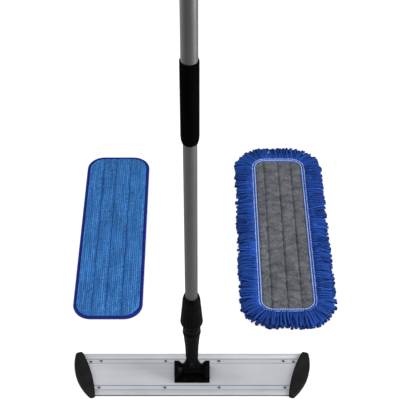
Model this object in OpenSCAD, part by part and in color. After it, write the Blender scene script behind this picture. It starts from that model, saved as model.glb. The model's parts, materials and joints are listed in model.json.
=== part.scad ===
// Flat mop: a trapezoid aluminium frame on a two-axis swivel, a telescopic handle
// with a twist lock, and two pads lying beside each other on the floor.
// Millimetres. +Z up, +X along the frame, +Y towards the frame's longer, rear edge.
// The origin is on the floor, under the handle's axis.

/* [Frame] */
// Length of the plate's rear edge, under the end caps
plate_len = 426; // [340:1:520]
// Depth of the plate, front edge to rear edge
plate_depth = 95; // [80:1:120]
// How far each end is cut back at the front edge
plate_skew = 26; // [10:1:40]
// Thickness of the plate
plate_t = 2.5; // [2:0.1:4]
// Width of the thicker lip along the front and rear edges
lip_w = 6; // [4:0.5:8]
// How far the lips stand above and below the plate
lip_h = 0.6; // [0.3:0.1:0.8]
// Distance of the rivet rows from the middle of the plate
row_y = 30.5; // [28:0.5:32]
// Width of the shallow track that holds a row of rivets
track_w = 10; // [8:0.5:11]
// Depth of the tracks
track_depth = 0.5; // [0.3:0.1:0.8]

/* [Hook strips] */
// Thickness of the hook strips, which the frame stands on
strip_t = 2.5; // [2:0.1:3]
// Width of a hook strip
strip_w = 25; // [18:1:26]
// Distance of a strip's inner end from the middle of the frame
strip_in = 44; // [40:1:60]
// Gap between a strip's outer end and the end cap
strip_gap = 1.2; // [0.5:0.1:4]
// Distance of a rivet from the end of its strip
rivet_inset = 5; // [4.5:0.5:10]

/* [End caps] */
// Length of an end cap along the slanted end
cap_len = 107; // [104:1:130]
// How far a cap stands out past the end of the plate
cap_reach = 20.3; // [15:0.1:25]
// How far a cap covers the plate
cap_cover = 9.6; // [7:0.1:12]
// Height of the underside of a cap above the floor
cap_low = 0.6; // [0.3:0.1:1.5]
// Height of the top of a cap above the floor
cap_high = 8.4; // [7.5:0.1:12]
// Rounding of a cap's top edge
cap_edge = 2.4; // [1:0.1:3]
// Radius of a cap's outer side, seen from above
cap_outer_r = 114.5; // [90:0.5:160]
// Radius of a cap's inner side, seen from above
cap_inner_r = 268; // [150:1:400]

/* [Rivets and screws] */
// Diameter of a rivet's shank
rivet_d = 3.2; // [2.4:0.1:4]
// Diameter of a rivet's head
rivet_head_d = 5.4; // [4.5:0.1:7]
// Height of a rivet's head
rivet_head_h = 1.1; // [0.8:0.1:1.5]
// Diameter of a bracket screw's shank
screw_d = 4; // [3:0.1:5]
// Diameter of a bracket screw's countersunk head
screw_head_d = 8; // [7:0.1:9]

/* [Swivel] */
// Width of the swivel bracket along the frame
bracket_w = 66.5; // [60:0.5:80]
// Depth of the bracket's base
bracket_depth = 40; // [34:1:48]
// Thickness of the bracket's base
bracket_base_t = 3; // [2.5:0.1:4]
// Thickness of each ear of the bracket
ear_t = 14.2; // [11:0.1:16]
// Width of the cone on the inner side of each ear
ear_cone = 6; // [4:0.5:8]
// Radius of an ear's round top
ear_r = 14.5; // [13:0.5:16]
// Radius of the barrel that turns between the ears
barrel_r = 9.5; // [8:0.1:10]
// Height of the tilt axis above the floor
tilt_z = 24; // [23:0.5:30]
// Height of the swing axis above the tilt axis
swing_rise = 26; // [25.5:0.5:34]
// Diameter of the two swivel pins
pin_d = 6; // [5:0.5:7]
// Diameter of the pins' heads
pin_head_d = 9; // [8:0.5:10]
// Thickness of the pins' heads
pin_head_t = 1.5; // [1:0.1:2]
// Thickness of the cross's upright tongue
tongue_t = 12; // [9:0.5:13]

/* [Neck and collar] */
// Radius of the neck at its fork
fork_r = 11.7; // [11:0.1:13]
// Length of the neck from the swing axis to the collar's foot
neck_len = 108; // [95:1:140]
// Radius of the ring under the collar
ring_r = 16.5; // [16:0.1:19]
// Depth of the tube in the neck, below the collar's foot
socket_depth = 34; // [28:1:40]
// Radius of the threaded spigot on top of the neck
spigot_r = 13.2; // [13:0.1:14]
// Length of the threaded spigot
spigot_len = 28; // [20:1:32]
// Length of the collar nut
collar_len = 76; // [70:1:95]
// Largest radius of the collar nut
collar_r = 20.4; // [19:0.1:24]
// Radius of the collar nut at its top rim
collar_top_r = 13.8; // [13.4:0.1:16]
// Length of the split collet
collet_len = 27; // [22:1:30]
// Number of flutes round the collar nut
flutes = 18; // [12:1:24]

/* [Handle] */
// Outer diameter of the lower tube
lower_d = 22.2; // [21.8:0.1:22.4]
// Wall of the lower tube
lower_wall = 1.2; // [0.8:0.1:1.6]
// Length of the lower tube
lower_len = 846; // [700:1:900]
// Outer diameter of the upper tube
upper_d = 25.4; // [25.2:0.1:25.8]
// Wall of the upper tube
upper_wall = 0.9; // [0.7:0.1:0.95]
// Length of the upper tube
upper_len = 750; // [700:1:850]
// Height of the upper tube's lower end at this setting of the telescope
upper_low = 600; // [560:1:640]
// Length of the grip on the upper tube's lower end
mid_grip_len = 154; // [100:1:200]
// Outer diameter of that grip
mid_grip_d = 29; // [28.5:0.1:34]
// Length of the top grip
top_grip_len = 150; // [100:1:220]
// Outer diameter of the top grip
top_grip_d = 31; // [29:0.1:36]
// Height of the cap's eye above the top of the tube
eye_rise = 22; // [20:1:30]
// Radius of the cap's eye
eye_r = 12; // [9:0.5:12.5]
// Thickness of the cap's eye
eye_t = 9; // [6:0.5:12]
// Diameter of the hanging hole
hang_d = 9; // [6:0.5:12]

/* [Wet pad] */
// Length of the wet pad
wet_len = 470; // [400:1:520]
// Width of the wet pad
wet_w = 140; // [110:1:160]
// Corner radius of the wet pad
wet_corner = 37; // [20:1:50]
// Width of its binding
binding_w = 5.5; // [4:0.5:8]
// Thickness of its microfibre face
wet_face_t = 4; // [3:0.1:6]
// Distance of its middle from the handle's axis
wet_x = 170; // [160:1:220]
// Distance of its near end from the handle's axis
wet_y = 134; // [120:1:200]

/* [Dust pad] */
// Length of the dust pad over its fringe
dust_len = 520; // [460:1:560]
// Width of the dust pad over its fringe
dust_w = 200; // [170:1:210]
// Length of its quilted panel
panel_len = 432; // [380:1:450]
// Width of its quilted panel
panel_w = 103; // [80:1:120]
// Corner radius of its panel
panel_corner = 16; // [8:1:30]
// Width of the stitched band round the panel
band_w = 10; // [6:0.5:14]
// Height of the yarn loops
fringe_h = 10; // [8:0.5:14]
// Distance of its middle from the handle's axis
dust_x = 192; // [180:1:240]
// Distance of its near end from the handle's axis
dust_y = 112; // [105:1:200]

/* [Fits] */
// Radial gap of a pin or shaft that turns in its bore
run_gap = 0.05; // [0.02:0.01:0.1]
// Radial gap of a tube that slides in another piece
slide_gap = 0.1; // [0.05:0.01:0.1]
// Gap between pieces that are pushed or glued together
seat_gap = 0.1; // [0.05:0.05:0.2]
// Gap between soft pieces and between moving shells
soft_gap = 0.3; // [0.2:0.05:0.5]

/* [Hidden] */
$fn = 96;

black = [0.05, 0.05, 0.055];
charcoal = [0.12, 0.12, 0.13];
silver = [0.75, 0.76, 0.78];
steel = [0.45, 0.46, 0.48];
nylon = [0.85, 0.85, 0.82];
dark_tube = [0.38, 0.38, 0.39];
light_tube = [0.48, 0.48, 0.49];
blue = [0.22, 0.43, 0.7];
navy = [0.07, 0.09, 0.45];
grey = [0.43, 0.44, 0.46];
foam = [0.8, 0.8, 0.78];

past = 1; // how far a cut runs past the face that it opens

plate_low = strip_t;
plate_top = plate_low + plate_t;
track_z = plate_top - track_depth;
slant = atan(plate_skew / plate_depth);
end_x = plate_len / 2 - plate_skew / 2; // where the slanted end crosses the middle
// The lens of an end cap, in axes along (v) and across (u) the slanted end
lens_outer = [cap_reach - cap_outer_r, 6];
lens_inner = [cap_inner_r - cap_cover, -9];
cap_round = 4.5;
cap_foot = 0.6; // height of the chamfer round a cap's underside
// Place of a cap's rivet, on a tab under the plate, beside the cap's inner side
cap_rivet_v = 26.4;
cap_rivet_u = -cap_cover - 3.9;
tab_r = 6;
// X of a cap's inner side at the front strip's outer corner
strip_corner_y = row_y + strip_w / 2;
strip_out = end_x - strip_corner_y * tan(slant) - cap_cover / cos(slant) + 2.4 - strip_gap;

base_top = plate_top + bracket_base_t;
countersink = (screw_head_d - screw_d) / 2;
ear_in = bracket_w / 2 - ear_t;
barrel_half = ear_in - soft_gap;
head_sink = pin_head_t + 0.3;
swing_z = tilt_z + swing_rise;
slot_half = tongue_t / 2 + soft_gap;
slot_top = swing_z + fork_r + 1.5;
tongue_r = fork_r - 0.7;
collar_low = swing_z + neck_len + 1;
neck_top = collar_low - 1;
spigot_top = neck_top + spigot_len;
socket_low = collar_low - 1 - socket_depth;
collar_high = collar_low + collar_len;

lower_r = lower_d / 2;
lower_low = socket_low + 2;
lower_high = lower_low + lower_len;
lower_in = lower_r - lower_wall;
socket_r = lower_r + run_gap;
upper_r = upper_d / 2;
upper_in = upper_r - upper_wall;
upper_high = upper_low + upper_len;
sleeve_in = upper_r + run_gap;
foot_len = 15;
core_plug_len = 25;
core_disc_t = 2.5;
stem_r = 5;
stem_len = 36;
core_pin_d = 3;
core_pin_z = lower_high - core_plug_len / 2;
ring_low = lower_high + core_disc_t + soft_gap;
ring_len = 20;
ring_seat = 7;
cone_r = 9.2;
cone_foot_r = 6.4;
bush_flange = 2.6;
bush_len = 25;
lip_t = 2;
eye_z = upper_high + eye_rise;
cap_plug_len = 18;
cap_flange_t = 5;

loop_t = 1.6;
wet_foam_t = 3.4;
yarn_t = 4;
dust_foam_t = 3;
dust_top_t = 2;

// ---- shared shapes ----

// A solid turned about Z, from a closed outline of [radius, height] points
module turned(outline) rotate_extrude() polygon(outline);

// A straight ring along Z
module ring(low, high, outer, inner) {
    difference() {
        translate([0, 0, low]) cylinder(r = outer, h = high - low);
        translate([0, 0, low - past]) cylinder(r = inner, h = high - low + 2 * past);
    }
}

// A cylinder along X or Y, centred on the given height
module rod_x(r, half, z)
    translate([0, 0, z]) rotate([0, 90, 0]) cylinder(r = r, h = 2 * half, center = true);

module rod_y(r, half, z)
    translate([0, 0, z]) rotate([90, 0, 0]) cylinder(r = r, h = 2 * half, center = true);

// A flat slab with round corners, centred on the origin
module slab(len, width, corner, low, high) {
    translate([0, 0, low]) linear_extrude(high - low) union() {
        square([width, len - 2 * corner], center = true);
        square([width - 2 * corner, len], center = true);
        for (x = [-1, 1], y = [-1, 1])
            translate([x * (width / 2 - corner), y * (len / 2 - corner)]) circle(r = corner);
    }
}

// A band along the edge of such a slab
module slab_band(len, width, corner, wide, low, high) {
    difference() {
        slab(len, width, corner, low, high);
        slab(len - 2 * wide, width - 2 * wide, max(corner - wide, 1), low - past, high + past);
    }
}

// ---- frame ----

// The plate, grown by a gap where it is used as a cut
module plate_blank(grow = 0) {
    rear = plate_len / 2 + grow;
    front = rear - plate_skew;
    edge = plate_depth / 2 + grow;
    intersection() {
        translate([0, 0, -past]) linear_extrude(2 * plate_top + 2 * past)
            polygon([[-rear, edge], [-front, -edge], [front, -edge], [rear, edge]]);
        union() {
            translate([-rear, -edge, plate_low - grow])
                cube([2 * rear, 2 * edge, plate_t + 2 * grow]);
            for (y = [-edge, edge - lip_w - 2 * grow])
                translate([-rear, y, plate_low - lip_h - grow])
                    cube([2 * rear, lip_w + 2 * grow, plate_t + 2 * lip_h + 2 * grow]);
        }
    }
}

// Children at the strip rivets, and at the bracket's four screws
module at_strip_rivets()
    for (x = [strip_in + rivet_inset + 2, strip_out - rivet_inset], sx = [-1, 1], sy = [-1, 1])
        translate([sx * x, sy * row_y, 0]) children();

module at_screws()
    for (x = [-1, 1], y = [-1, 1])
        translate([x * (ear_in - 7), y * (bracket_depth / 2 - 6), 0]) children();

// Children in the axes of the right-hand slanted end, v along Y, u along X
module at_end(side)
    mirror([side < 0 ? 1 : 0, 0, 0]) translate([end_x, 0, 0]) rotate([0, 0, -slant]) children();

module at_cap_rivet(side) at_end(side) translate([cap_rivet_u, cap_rivet_v, 0]) children();

module frame_plate() color(silver) difference() {
    plate_blank();
    for (y = [-row_y, row_y])
        translate([-plate_len / 2, y - track_w / 2, track_z]) cube([plate_len, track_w, 2 * track_depth]);
    at_strip_rivets() cylinder(d = rivet_d + 2 * run_gap, h = plate_top + past);
    for (side = [-1, 1]) at_cap_rivet(side) cylinder(d = rivet_d + 2 * run_gap, h = plate_top + past);
    at_screws() cylinder(d = screw_d + 2 * run_gap, h = plate_top + past);
}

module cap_outline(shrink) offset(r = cap_round - shrink) offset(delta = -cap_round) intersection() {
    translate(lens_outer) circle(r = cap_outer_r, $fn = 240);
    translate(lens_inner) circle(r = cap_inner_r, $fn = 480);
    square([4 * cap_reach, cap_len], center = true);
}

// The cap's outline, shrunk, from a rise above its underside to a fall below its top
module cap_layer(rise, fall, shrink)
    translate([0, 0, cap_low + rise]) linear_extrude(cap_high - fall - cap_low - rise) cap_outline(shrink);

module end_cap(side) color(charcoal) difference() {
    at_end(side) {
        hull() {
            cap_layer(cap_foot, cap_edge, 0);
            cap_layer(0, cap_edge / 3, cap_edge / 3);
            cap_layer(0, 0, cap_edge);
        }
        translate([cap_rivet_u, cap_rivet_v, cap_low]) cylinder(r = tab_r, h = plate_low - cap_low);
        translate([cap_rivet_u, cap_rivet_v - tab_r, cap_low])
            cube([-cap_rivet_u, 2 * tab_r, plate_low - cap_low]);
    }
    plate_blank(seat_gap);
    at_cap_rivet(side) cylinder(d = rivet_d + 2 * run_gap, h = plate_top);
}

module end_cap_left() end_cap(-1);
module end_cap_right() end_cap(1);

// A blind rivet whose head sits in a track
module rivet(low) {
    translate([0, 0, low]) cylinder(d = rivet_d, h = track_z - low);
    translate([0, 0, track_z]) turned([[0, 0], [rivet_head_d / 2, 0], [rivet_head_d / 2, rivet_head_h * 0.4],
        [rivet_head_d * 0.36, rivet_head_h * 0.85], [rivet_d / 4, rivet_head_h], [0, rivet_head_h]]);
}

module cap_rivets() color(steel) for (side = [-1, 1]) at_cap_rivet(side) rivet(cap_low + 0.3);
module strip_rivets() color(steel) at_strip_rivets() rivet(strip_t - 1.5);

module hook_strip(sx, sy) color(charcoal) difference() {
    translate([sx > 0 ? strip_in : -strip_out, sy * row_y - strip_w / 2, 0])
        cube([strip_out - strip_in, strip_w, strip_t]);
    at_strip_rivets() translate([0, 0, -past]) cylinder(d = rivet_d + 2 * run_gap, h = strip_t + 2 * past);
    // The lip of the plate stands below the plate's underside
    translate([-plate_len / 2, sy * (plate_depth - lip_w) / 2 - lip_w / 2 - seat_gap,
        plate_low - lip_h - seat_gap])
        cube([plate_len, lip_w + 2 * seat_gap, lip_h + past]);
}

module hook_strip_front_left() hook_strip(-1, -1);
module hook_strip_front_right() hook_strip(1, -1);
module hook_strip_rear_left() hook_strip(-1, 1);
module hook_strip_rear_right() hook_strip(1, 1);

// ---- swivel ----

module bracket_ear() {
    cone_x = ear_in + ear_cone;
    translate([cone_x, 0, tilt_z]) rotate([0, 90, 0]) cylinder(r = ear_r, h = bracket_w / 2 - cone_x);
    translate([ear_in, 0, tilt_z]) rotate([0, 90, 0]) cylinder(r1 = barrel_r, r2 = ear_r, h = ear_cone);
    translate([cone_x, -ear_r, plate_top]) cube([bracket_w / 2 - cone_x, 2 * ear_r, tilt_z - plate_top]);
    translate([ear_in, -barrel_r, plate_top]) cube([ear_cone, 2 * barrel_r, tilt_z - plate_top]);
}

module swivel_bracket() color(black) difference() {
    union() {
        translate([-bracket_w / 2, -bracket_depth / 2, plate_top])
            cube([bracket_w, bracket_depth, bracket_base_t]);
        for (side = [0, 1]) mirror([side, 0, 0]) bracket_ear();
    }
    rod_x(pin_d / 2 + run_gap, bracket_w, tilt_z);
    for (side = [0, 1]) mirror([side, 0, 0]) translate([bracket_w / 2 - head_sink, 0, tilt_z])
        rotate([0, 90, 0]) cylinder(d = pin_head_d + 2 * seat_gap, h = head_sink + past);
    at_screws() {
        translate([0, 0, plate_top - past])
            cylinder(d = screw_d + 2 * run_gap, h = bracket_base_t + 2 * past);
        translate([0, 0, base_top - countersink - 2 * seat_gap])
            cylinder(r1 = screw_d / 2, r2 = screw_d / 2 + countersink + 4 * seat_gap,
                h = countersink + 4 * seat_gap);
    }
}

module bracket_screws() color(steel) at_screws() {
    translate([0, 0, strip_t - 1.5]) cylinder(d = screw_d, h = base_top - strip_t);
    translate([0, 0, base_top - countersink])
        cylinder(d1 = screw_d, d2 = screw_head_d, h = countersink);
}

// A pin with a head at each end, along X, centred on the origin
module headed_pin(half) {
    rotate([0, 90, 0]) cylinder(d = pin_d, h = 2 * half, center = true);
    for (side = [0, 1]) mirror([side, 0, 0]) translate([half - pin_head_t, 0, 0])
        rotate([0, 90, 0]) cylinder(d = pin_head_d, h = pin_head_t);
}

module tilt_pin() color(steel) translate([0, 0, tilt_z]) headed_pin(bracket_w / 2 - 0.2);

module swivel_cross() color(black) difference() {
    union() {
        rod_x(barrel_r, barrel_half, tilt_z);
        rod_y(tongue_r, tongue_t / 2, swing_z);
        translate([0, tongue_t / 2, 0]) rotate([90, 0, 0]) linear_extrude(tongue_t)
            polygon([for (side = [1, -1], i = side > 0 ? [0:6] : [6:-1:0])
                let (t = i / 6) [side * (barrel_half - (barrel_half - tongue_r) * sin(90 * t)),
                    tilt_z + t * (swing_z - tilt_z) + 4 * sin(180 * t) * (1 - t)]]);
    }
    rod_x(pin_d / 2 + run_gap, bracket_w, tilt_z);
    rod_y(pin_d / 2 + run_gap, bracket_w, swing_z);
}

module swing_pin() color(steel) translate([0, 0, swing_z]) rotate([0, 0, 90]) headed_pin(fork_r - 0.6);

// ---- neck and collar ----

module neck() color(black) difference() {
    union() {
        turned([[0, slot_top - 6], [fork_r, slot_top - 6], [fork_r, swing_z + 0.18 * neck_len],
            [fork_r + 0.7, swing_z + 0.4 * neck_len], [fork_r + 2.3, swing_z + 0.6 * neck_len],
            [ring_r - 1.2, neck_top - 27], [ring_r, neck_top - 23], [ring_r, neck_top - 19],
            [ring_r - 1, neck_top - 16], [ring_r - 1, neck_top - 11], [ring_r - 0.4, neck_top - 9],
            [ring_r - 0.4, neck_top], [spigot_r, neck_top], [spigot_r, spigot_top - 1],
            [spigot_r - 1, spigot_top], [0, spigot_top]]);
        intersection() {
            cylinder(r = fork_r, h = slot_top);
            union() {
                rod_y(fork_r, 2 * fork_r, swing_z);
                translate([-fork_r, -fork_r, swing_z]) cube([2 * fork_r, 2 * fork_r, slot_top - swing_z]);
            }
        }
    }
    translate([-2 * fork_r, -slot_half, 0]) cube([4 * fork_r, 2 * slot_half, slot_top]);
    rod_y(pin_d / 2 + run_gap, 2 * fork_r, swing_z);
    for (side = [0, 1]) mirror([0, side, 0]) translate([0, fork_r - 0.6 - head_sink + 0.2, swing_z])
        rotate([-90, 0, 0]) cylinder(d = pin_head_d + 2 * seat_gap, h = fork_r);
    translate([0, 0, socket_low]) cylinder(r = socket_r, h = spigot_top);
}

module collet() color(nylon) difference() {
    turned([[socket_r + run_gap, spigot_top + soft_gap], [spigot_r - 0.2, spigot_top + soft_gap],
        [spigot_r - 0.2, spigot_top + 4], [lower_r + 0.9, spigot_top + collet_len],
        [socket_r + run_gap, spigot_top + collet_len]]);
    for (turn = [0, 90])
        rotate([0, 0, turn + 45]) translate([-spigot_r, -0.8, spigot_top + 6])
            cube([2 * spigot_r, 1.6, collet_len]);
}

module collar_nut() color(black) difference() {
    turned([[0, collar_low], [ring_r + 0.3, collar_low], [collar_r - 0.6, collar_low + 5.5],
        [collar_r, collar_low + 8], [collar_r - 0.5, collar_low + 13], [collar_top_r + 1.9, collar_high - 8],
        [collar_top_r + 0.8, collar_high - 3], [collar_top_r, collar_high], [0, collar_high]]);
    turned([[0, collar_low - past], [spigot_r + 0.15, collar_low - past], [spigot_r + 0.15, spigot_top + 4],
        [lower_r + 1.2, spigot_top + collet_len + 2], [lower_r + 0.5, spigot_top + collet_len + 5],
        [lower_r + 0.5, collar_high + past], [0, collar_high + past]]);
    // Flutes follow the slope of the nut
    run = collar_len - 21;
    fall = collar_r - 0.5 - collar_top_r - 1.9;
    for (i = [0:flutes - 1]) rotate([0, 0, (i + 0.5) * 360 / flutes])
        translate([collar_r + 0.5, 0, collar_low + 13]) rotate([0, -atan(fall / run), 0])
            translate([0, 0, -5]) cylinder(r = 1.7, h = run + 2, $fn = 24);
}

// ---- handle ----

module lower_tube() color(dark_tube) difference() {
    ring(lower_low, lower_high, lower_r, lower_in);
    rod_x(core_pin_d / 2 + run_gap, lower_d, core_pin_z);
}

module tube_foot() color(black) {
    translate([0, 0, socket_low + 0.4]) cylinder(r = lower_r, h = lower_low - socket_low - 0.4);
    translate([0, 0, lower_low]) cylinder(r = lower_in - seat_gap, h = foot_len);
}

module lock_core() color(nylon) difference() {
    union() {
        translate([0, 0, lower_high - core_plug_len]) cylinder(r = lower_in - seat_gap, h = core_plug_len);
        translate([0, 0, lower_high]) cylinder(r = lower_r, h = core_disc_t);
        translate([0, 0, lower_high]) cylinder(r = stem_r, h = stem_len);
    }
    rod_x(core_pin_d / 2 + run_gap, lower_d, core_pin_z);
}

module core_pin() color(steel) rod_x(core_pin_d / 2, lower_r - 0.2, core_pin_z);

module lock_ring() color(nylon) difference() {
    turned([[stem_r + run_gap, ring_low], [upper_in - 0.9, ring_low], [upper_in - soft_gap, ring_low + 1.5],
        [upper_in - soft_gap, ring_low + ring_len], [cone_r + 0.5, ring_low + ring_len],
        [cone_foot_r + 0.3, ring_low + ring_seat], [stem_r + run_gap, ring_low + ring_seat]]);
    translate([0, -0.75, ring_low - past]) cube([upper_r, 1.5, ring_len + 2 * past]);
}

module lock_cone() color(black) turned([[stem_r + run_gap, ring_low + ring_seat + soft_gap],
    [cone_foot_r, ring_low + ring_seat + soft_gap], [cone_r, ring_low + ring_len],
    [cone_r, ring_low + ring_len + 6], [stem_r + run_gap, ring_low + ring_len + 6]]);

module upper_tube() color(light_tube) ring(upper_low, upper_high, upper_r, upper_in);

module guide_bush() color(nylon) union() {
    ring(upper_low - bush_flange, upper_low, upper_r - 0.1, lower_r + slide_gap);
    ring(upper_low - bush_flange / 2, upper_low + bush_len, upper_in - run_gap, lower_r + slide_gap);
}

module mid_grip() color(black) {
    low = upper_low - bush_flange - lip_t;
    high = low + mid_grip_len;
    turned([[sleeve_in, low + lip_t], [sleeve_in, high], [mid_grip_d / 2 - 0.6, high],
        [mid_grip_d / 2, high - 0.6], [mid_grip_d / 2, low + 14], [mid_grip_d / 2 - 0.5, low + 7],
        [mid_grip_d / 2 - 1.5, low + 2.5], [mid_grip_d / 2 - 2.4, low], [lower_r + soft_gap, low],
        [lower_r + soft_gap, low + lip_t]]);
}

module top_grip() color(black) {
    high = upper_high;
    low = high - top_grip_len;
    grip_r = top_grip_d / 2;
    turned([[sleeve_in, low], [grip_r - 1.6, low], [grip_r - 0.5, low + 1.4], [grip_r, low + 4],
        [grip_r - 0.9, low + top_grip_len * 0.5], [grip_r, high - 4], [grip_r - 0.5, high - 1.2],
        [grip_r - 1.4, high], [sleeve_in, high]]);
}

module top_cap() color(black) difference() {
    flange_r = top_grip_d / 2 - 1.6;
    union() {
        translate([0, 0, upper_high - cap_plug_len]) cylinder(r = upper_in - seat_gap, h = cap_plug_len);
        translate([0, 0, upper_high]) turned([[0, 0], [flange_r, 0], [flange_r, 2.5],
            [flange_r - 1, cap_flange_t - 0.6], [flange_r - 2.4, cap_flange_t], [0, cap_flange_t]]);
        rod_y(eye_r, eye_t / 2, eye_z);
        translate([-eye_r, -eye_t / 2, upper_high]) cube([2 * eye_r, eye_t, eye_rise]);
    }
    rod_y(hang_d / 2, eye_t, eye_z);
}

// ---- pads ----

module at_wet() translate([-wet_x, wet_y + wet_len / 2, 0]) children();
module at_dust() translate([dust_x, dust_y + dust_len / 2, 0]) children();

// One layer of the wet pad, inside its binding
module wet_layer(low, high) at_wet()
    slab(wet_len - 2 * (binding_w + soft_gap), wet_w - 2 * (binding_w + soft_gap),
        wet_corner - binding_w - soft_gap, low, high);

module wet_pad_backing() color("white") wet_layer(0, loop_t);
module wet_pad_core() color(foam) wet_layer(loop_t, loop_t + wet_foam_t);
module wet_pad_face() color(blue)
    wet_layer(loop_t + wet_foam_t, loop_t + wet_foam_t + wet_face_t);
module wet_pad_binding() color(navy) at_wet()
    slab_band(wet_len, wet_w, wet_corner, binding_w, 0, loop_t + wet_foam_t + wet_face_t / 2);

dust_mid_len = panel_len + 2 * band_w;
dust_mid_w = panel_w + 2 * band_w;
dust_mid_corner = panel_corner + band_w;
dust_panel_low = yarn_t + dust_foam_t;

module dust_pad_yarn() color(blue) at_dust() slab(dust_mid_len, dust_mid_w, dust_mid_corner, 0, yarn_t);
module dust_pad_core() color(foam) at_dust() slab(panel_len, panel_w, panel_corner, yarn_t, dust_panel_low);
module dust_pad_panel() color(grey) at_dust()
    slab(panel_len, panel_w, panel_corner, dust_panel_low, dust_panel_low + dust_top_t);
module dust_pad_band() color(blue) at_dust() difference() {
    slab(dust_mid_len, dust_mid_w, dust_mid_corner, yarn_t, dust_panel_low + dust_top_t);
    slab(panel_len + 2 * soft_gap, panel_w + 2 * soft_gap, panel_corner + soft_gap,
        yarn_t - past, dust_panel_low + dust_top_t + past);
}
module dust_pad_fringe() color(navy) at_dust() difference() {
    slab(dust_len, dust_w, dust_mid_corner + (dust_w - dust_mid_w) / 2, 0, fringe_h);
    slab(dust_mid_len + 2 * soft_gap, dust_mid_w + 2 * soft_gap, dust_mid_corner + soft_gap,
        -past, fringe_h + past);
}

frame_plate();
end_cap_left();
end_cap_right();
cap_rivets();
hook_strip_front_left();
hook_strip_front_right();
hook_strip_rear_left();
hook_strip_rear_right();
strip_rivets();
swivel_bracket();
bracket_screws();
tilt_pin();
swivel_cross();
swing_pin();
neck();
collet();
collar_nut();
lower_tube();
tube_foot();
lock_core();
core_pin();
lock_ring();
lock_cone();
upper_tube();
guide_bush();
mid_grip();
top_grip();
top_cap();
wet_pad_backing();
wet_pad_core();
wet_pad_face();
wet_pad_binding();
dust_pad_yarn();
dust_pad_core();
dust_pad_panel();
dust_pad_band();
dust_pad_fringe();
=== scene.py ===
"""A flat mop with a telescopic handle, and the two pads that go with it."""

import json
import math
import random

import bmesh
import bpy
from mathutils import Matrix, Vector, noise


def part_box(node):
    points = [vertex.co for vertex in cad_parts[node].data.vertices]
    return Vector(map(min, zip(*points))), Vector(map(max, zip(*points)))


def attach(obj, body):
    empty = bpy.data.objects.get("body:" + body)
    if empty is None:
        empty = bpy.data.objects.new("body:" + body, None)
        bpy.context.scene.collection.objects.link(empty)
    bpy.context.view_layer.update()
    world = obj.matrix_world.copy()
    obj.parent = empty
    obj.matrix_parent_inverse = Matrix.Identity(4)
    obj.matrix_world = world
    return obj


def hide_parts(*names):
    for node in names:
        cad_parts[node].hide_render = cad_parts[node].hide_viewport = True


bl_info = {
    "name": "Flat Mop",
    "version": (1, 0, 0),
    "blender": (4, 5, 0),
    "location": "View3D > Sidebar > Flat Mop",
    "description": "Builds the finished pieces of a flat mop and its two pads over their frame",
    "category": "Add Mesh",
}

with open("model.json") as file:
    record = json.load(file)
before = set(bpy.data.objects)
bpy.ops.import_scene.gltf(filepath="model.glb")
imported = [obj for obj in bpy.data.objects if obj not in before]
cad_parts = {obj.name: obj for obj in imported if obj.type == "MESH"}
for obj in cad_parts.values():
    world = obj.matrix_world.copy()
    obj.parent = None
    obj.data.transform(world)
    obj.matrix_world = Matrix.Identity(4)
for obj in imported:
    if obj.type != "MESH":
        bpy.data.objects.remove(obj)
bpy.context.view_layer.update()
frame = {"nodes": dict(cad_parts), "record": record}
UP = Vector((0, 0, 1))

# Seed of the random draws on both pads, and how near to a sewn line still counts as on it.
PAD_SEED = 11
NEAR = 1e-4

# The two shallow tracks of the plate, and the outer faces of its lips, from the middle of the plate, where
# the plate's shade is painted.
TRACK_CENTRE = 0.0305
TRACK_HALF = 0.005
LIP_FACE = 0.0474

# Corners of the pads, and the wet pad's rolled edge.
WET_PAD_CORNER = 0.037
BINDING_RADIUS = 0.0034
PANEL_CORNER = 0.022
TAPE_CORNER = 0.032

# Where the sewn lines lie, as shares of the pad's width from its middle.
WET_PAD_CHANNELS = (-0.25, -0.02, 0.21)
PANEL_SEAMS = (-0.3, -0.01, 0.26)
PANEL_CELL = 0.004
STITCH_ROWS = (0.0016, 0.0068)

# How the pads are blown up as cloth.
SWELL_PRESSURE = 12.0
SWELL_FRAMES = 20
SWELL_SLACK = 0.05

# Steps along a yarn loop from root to tip, each with how far along it is and its girth.
FINGER_RINGS = ((0, 0), (0.01, 0.85), (0.2, 0.9), (0.4, 0.95), (0.6, 1.0),
                (0.78, 1.0), (0.92, 1.06), (0.985, 0.75), (1.0, 0))

# Layers of the fringe: name, share of the reach, thickness, height at the root, rise in the middle,
# height at the tip and tone, which is painted shade on the lower layers under the upper ones and painted
# light on the header.
FRINGE_LAYERS = (
    ("lower", 0.97, 1.4, 0.0042, 0.0, 0.0030, 0.4),
    ("middle", 0.96, 1.0, 0.0068, 0.0016, 0.0052, 0.75),
    ("upper", 0.88, 0.84, 0.0088, 0.0030, 0.0078, 1.08),
    ("header", 0.38, 0.8, 0.0092, 0.0020, 0.0088, 1.2),
)


def colour_setting(name, description, default):
    """A colour that a user can change."""
    return bpy.props.FloatVectorProperty(
        name=name, description=description, default=default, subtype="COLOR", size=3, min=0, max=1)


def length_setting(name, description, default, low=0.0001, high=5):
    """A length that a user can change, in metres."""
    return bpy.props.FloatProperty(
        name=name, description=description, default=default, min=low, max=high, unit="LENGTH", precision=4)


def power_setting(name, description, default):
    """The power of a lamp that a user can change, in watts."""
    return bpy.props.FloatProperty(
        name=name, description=description, default=default, min=0, unit="POWER")


# ---- settings ----

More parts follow.
